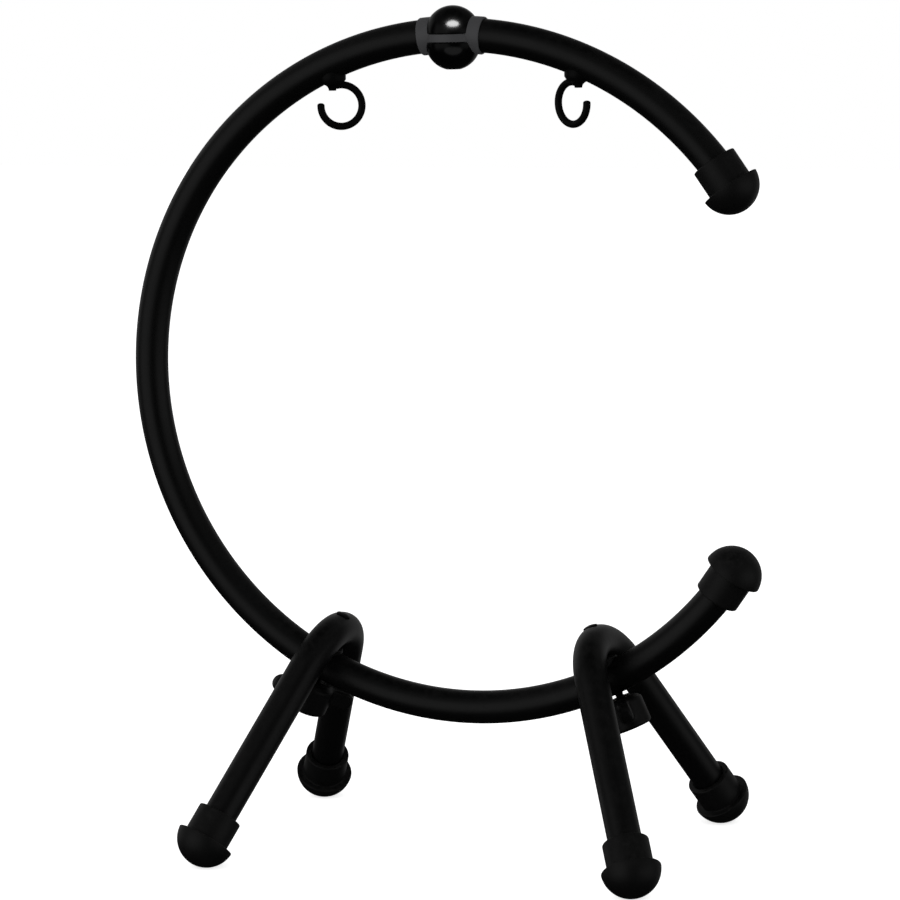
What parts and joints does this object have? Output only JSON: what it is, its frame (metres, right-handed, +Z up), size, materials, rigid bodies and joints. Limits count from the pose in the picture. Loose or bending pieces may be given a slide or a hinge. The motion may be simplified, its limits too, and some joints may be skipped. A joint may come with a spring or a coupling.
{
  "type": "gong stand",
  "caption": "Table-top gong stand: an open ring of bent tube on hairpin leg frames clamped by winged knobs, with a ball on top and open wire hooks for the gong's cord.",
  "frame": {"origin": "on the floor, under the middle of the stand's bounding box", "axes": "+Z up; the ring lies in the XZ plane with its mouth towards +X; the front, seen in the picture, is -Y"},
  "size_m": [0.3764, 0.2144, 0.4811],
  "materials": {
    "powder_coat": "black satin powder coat on steel tube and wire",
    "rubber": "matt black",
    "gloss_plastic": "polished black",
    "moulded_plastic": "satin black moulding",
    "satin_band": "dark grey satin",
    "black_zinc": "black zinc plate",
    "brass": "turned"
  },
  "bodies": {
    "ring": {"ring_tube": "powder_coat", "ring_end_cap_upper": "rubber", "ring_end_cap_lower": "rubber", "ball_core": "satin_band", "ball_dome_upper": "gloss_plastic", "ball_dome_lower": "gloss_plastic", "ball_screw": "black_zinc", "hook_left": "powder_coat", "hook_right": "powder_coat", "saddle_pad_left": "rubber", "saddle_pad_right": "rubber"},
    "leg_frame_left": {"leg_tube_left": "powder_coat", "clamp_stud_left": "black_zinc", "foot_cap_front_left": "rubber", "foot_cap_back_left": "rubber"},
    "leg_frame_right": {"leg_tube_right": "powder_coat", "clamp_stud_right": "black_zinc", "foot_cap_front_right": "rubber", "foot_cap_back_right": "rubber"},
    "washer_left": {"clamp_washer_left": "black_zinc"},
    "washer_right": {"clamp_washer_right": "black_zinc"},
    "knob_left": {"clamp_knob_left": "moulded_plastic", "clamp_insert_left": "brass"},
    "knob_right": {"clamp_knob_right": "moulded_plastic", "clamp_insert_right": "brass"}
  },
  "joints": [
    {"name": "leg_frame_left_turn", "type": "hinge", "parent": "ring", "child": "leg_frame_left", "pos_m": [-0.07427, 0, 0.10178], "axis": [-0.4029, 0, -0.9152], "range_deg": [-45, 45]},
    {"name": "washer_left_travel", "type": "slide", "parent": "leg_frame_left", "child": "washer_left", "axis": [-0.4029, 0, -0.9152], "range_m": [-0.00151, 0.00401]},
    {"name": "knob_left_turn", "type": "hinge", "parent": "washer_left", "child": "knob_left", "pos_m": [-0.07927, 0, 0.09041], "axis": [-0.4029, 0, -0.9152], "range_deg": [-675, 1800]},
    {"name": "leg_frame_right_turn", "type": "hinge", "parent": "ring", "child": "leg_frame_right", "pos_m": [0.10096, 0, 0.10178], "axis": [0.4029, 0, -0.9152], "range_deg": [-45, 45]},
    {"name": "washer_right_travel", "type": "slide", "parent": "leg_frame_right", "child": "washer_right", "axis": [0.4029, 0, -0.9152], "range_m": [-0.00151, 0.00401]},
    {"name": "knob_right_turn", "type": "hinge", "parent": "washer_right", "child": "knob_right", "pos_m": [0.10597, 0, 0.09041], "axis": [0.4029, 0, -0.9152], "range_deg": [-675, 1800]}
  ],
  "couplings": [
    {"joint": "washer_left_travel", "follows": "knob_left_turn", "m_per_rad": 0.00012732},
    {"joint": "washer_right_travel", "follows": "knob_right_turn", "m_per_rad": 0.00012732}
  ]
}
